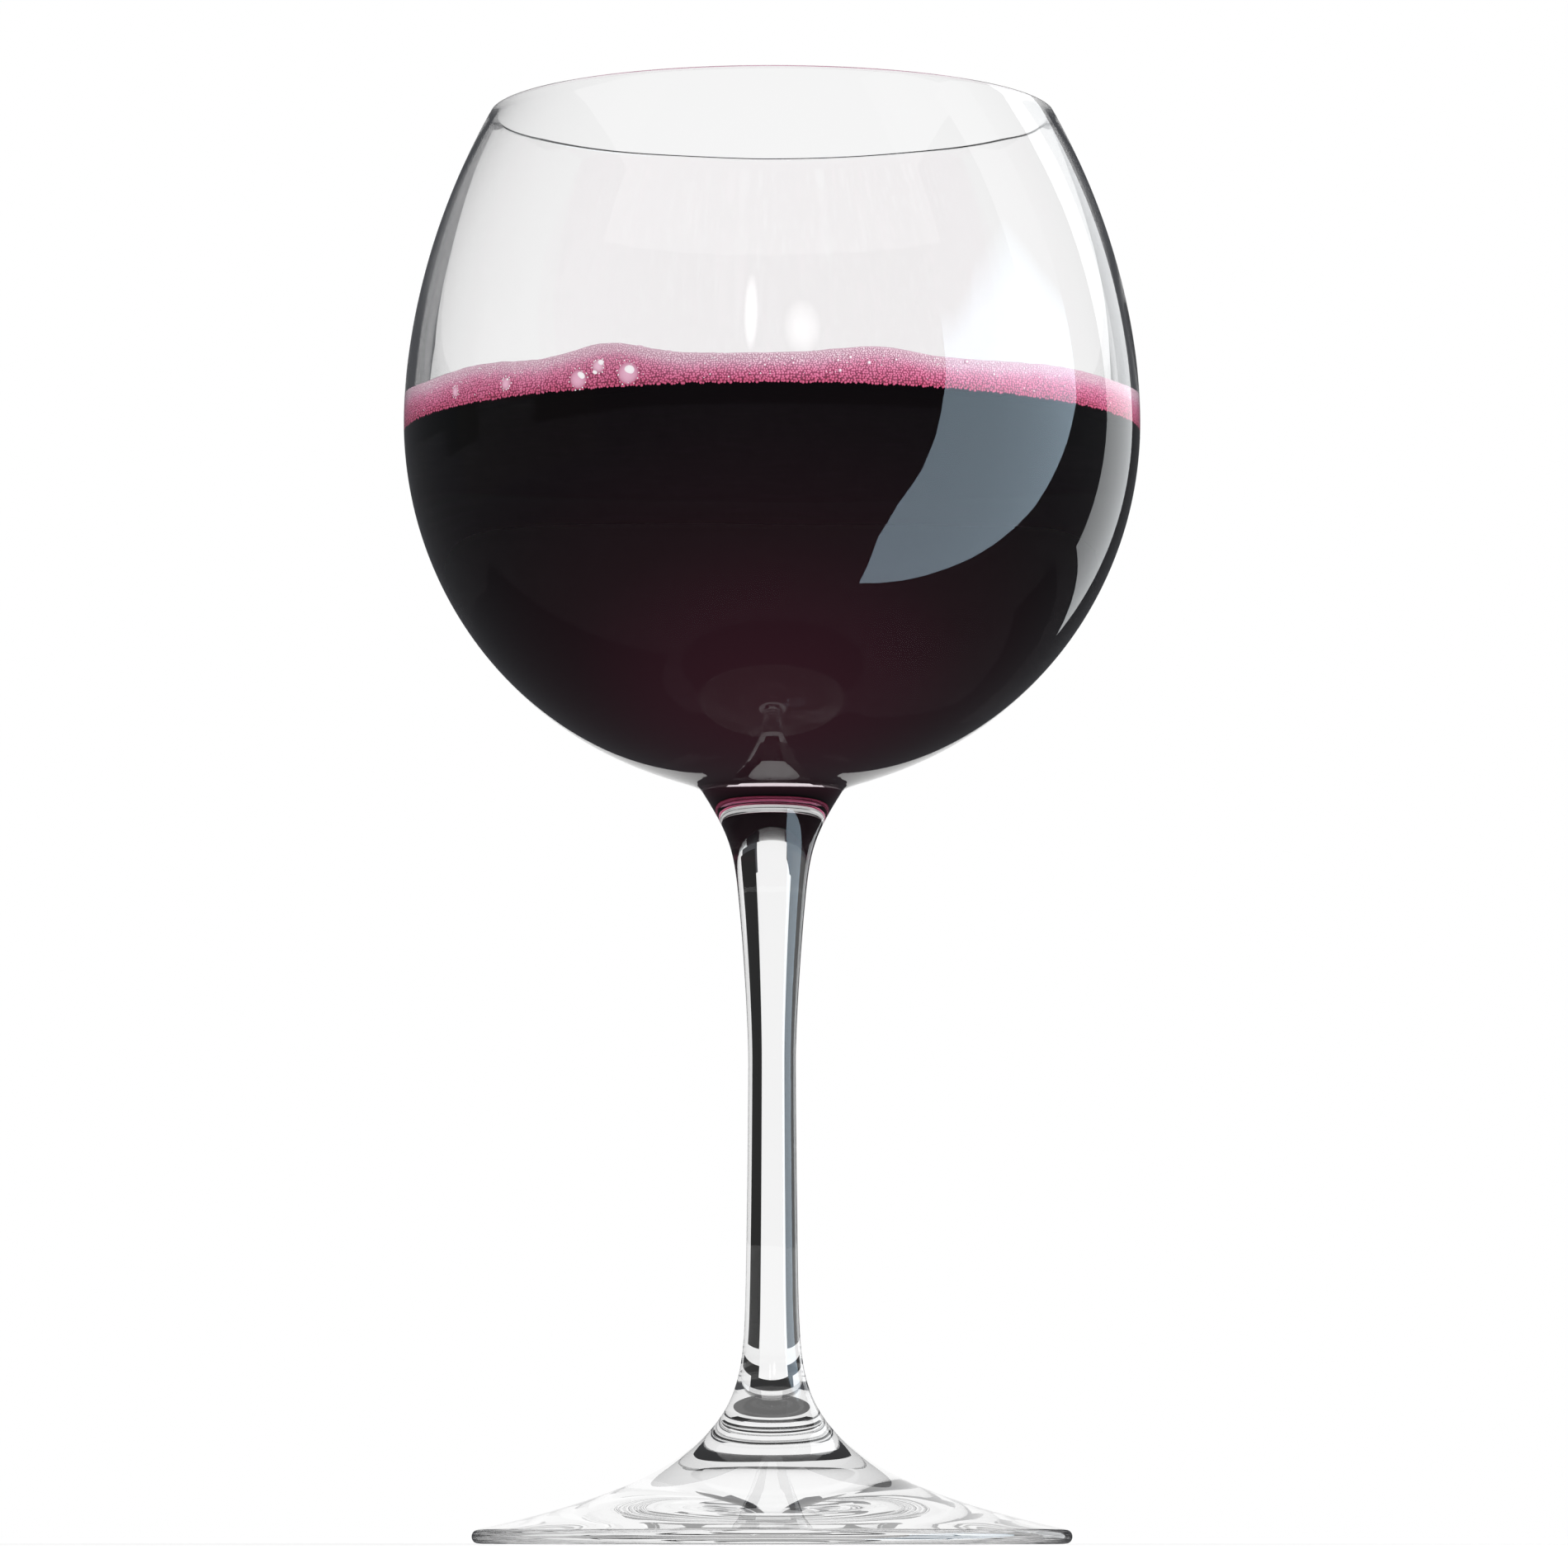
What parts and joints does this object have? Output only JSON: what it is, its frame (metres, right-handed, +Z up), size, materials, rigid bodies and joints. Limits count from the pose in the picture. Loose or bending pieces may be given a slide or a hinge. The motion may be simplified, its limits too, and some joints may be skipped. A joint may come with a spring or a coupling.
{
  "type": "glass of red wine",
  "caption": "Balloon glass on a drawn stem and round foot, half filled with dark red wine under a layer of pink froth.",
  "frame": {"origin": "middle of the foot, in the plane that the glass stands on", "axes": "+Z up along the stem; -Y towards the front, where the froth is lowest in the middle"},
  "size_m": [0.1134, 0.1134, 0.22],
  "materials": {
    "clear_glass": "polished clear",
    "red_wine": "deep clear liquid",
    "pink_froth": "wet fine bubbles"
  },
  "bodies": {
    "root": {"glass": "clear_glass", "wine": "red_wine", "froth": "pink_froth"}
  },
  "joints": []
}
